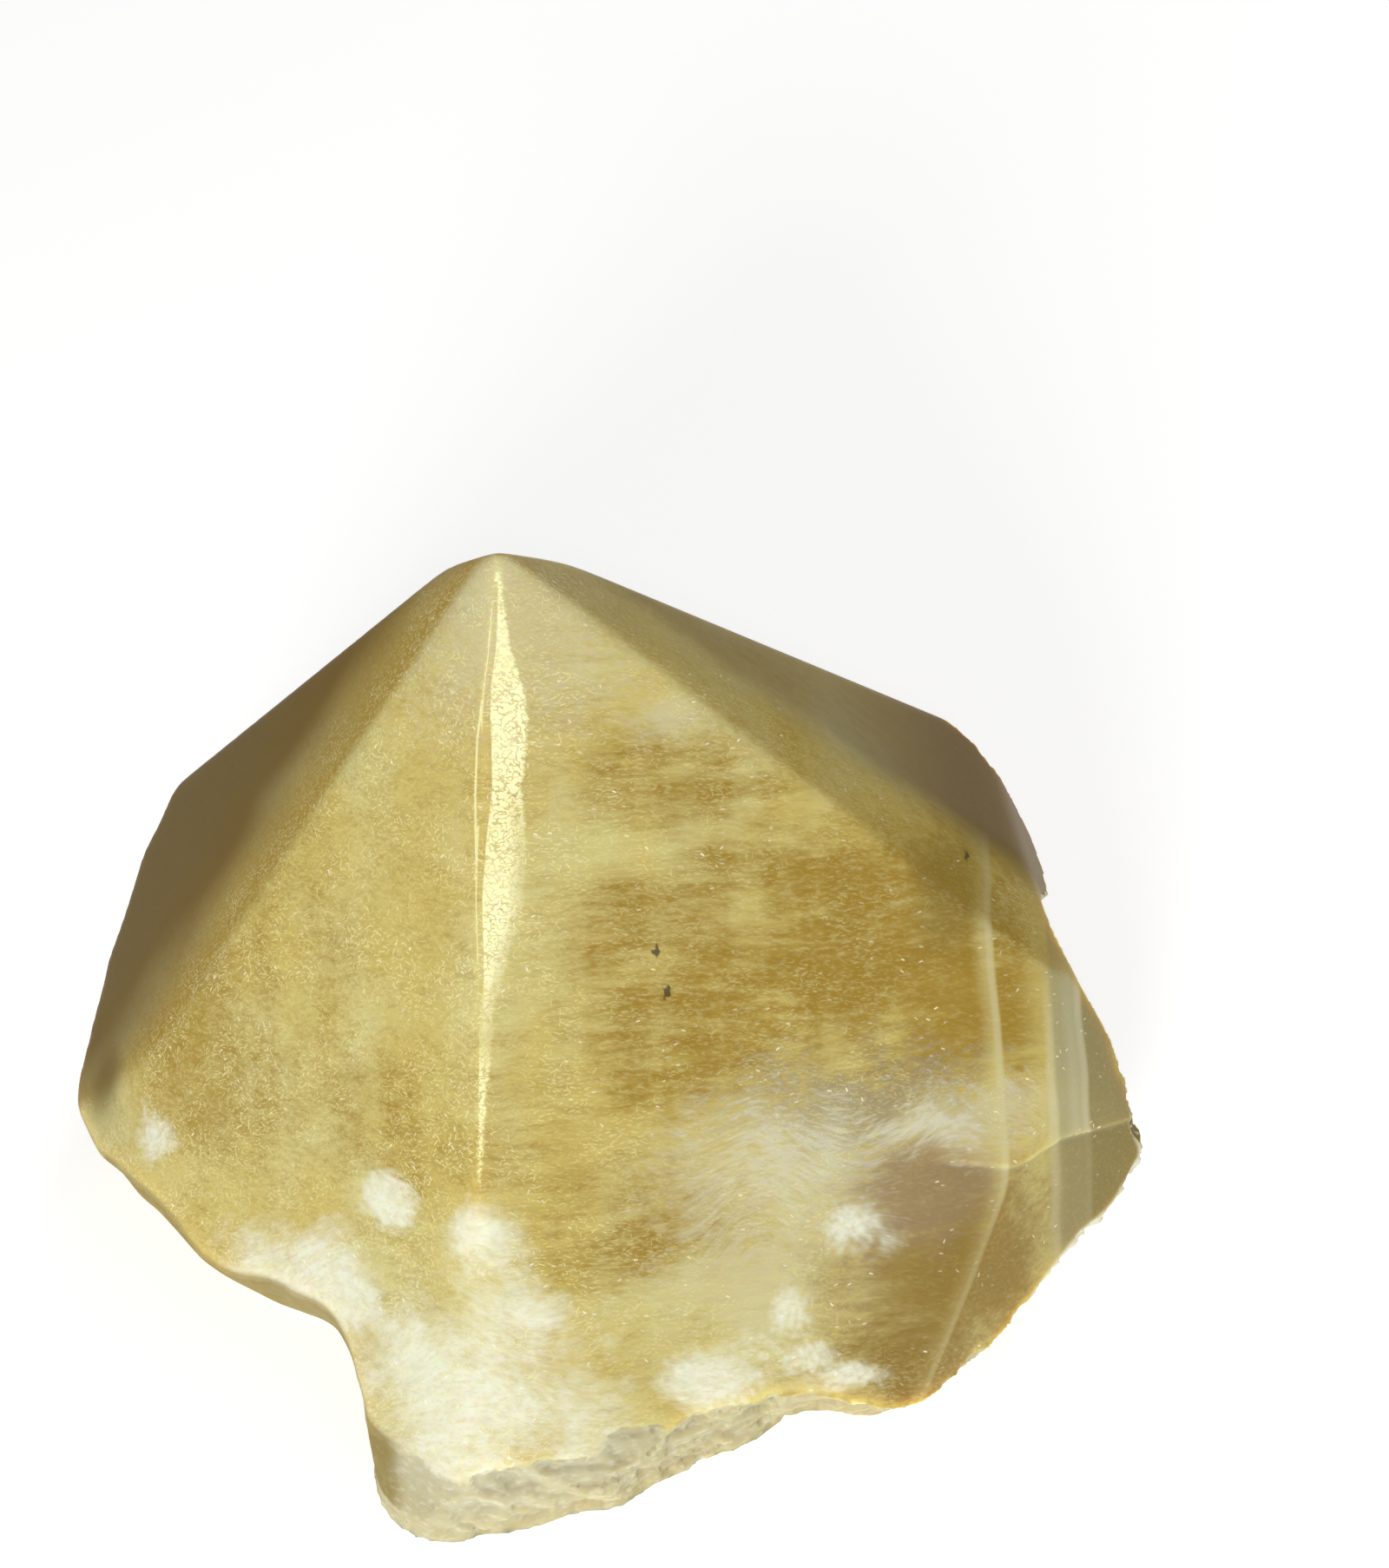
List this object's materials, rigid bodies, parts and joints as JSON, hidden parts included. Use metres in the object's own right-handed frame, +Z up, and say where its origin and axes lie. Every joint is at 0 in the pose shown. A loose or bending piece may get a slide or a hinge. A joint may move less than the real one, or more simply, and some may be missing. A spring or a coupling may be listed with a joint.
{
  "type": "polished calcite point",
  "caption": "Block of banded honey-orange calcite, ground and polished to a blunt pyramid point on top, with rough broken sides and foot and a sawn flat base.",
  "frame": {"origin": "middle of the block's footprint, on the sawn base face that it stands on", "axes": "+Z up through the base towards the point, -Y the front edge seen in the picture, +X to the viewer's right"},
  "size_m": [0.1042, 0.0856, 0.0681],
  "materials": {
    "calcite": "polished on the ground faces, rough and frosted where broken, slightly translucent"
  },
  "bodies": {
    "root": {"calcite_point": "calcite"}
  },
  "joints": []
}
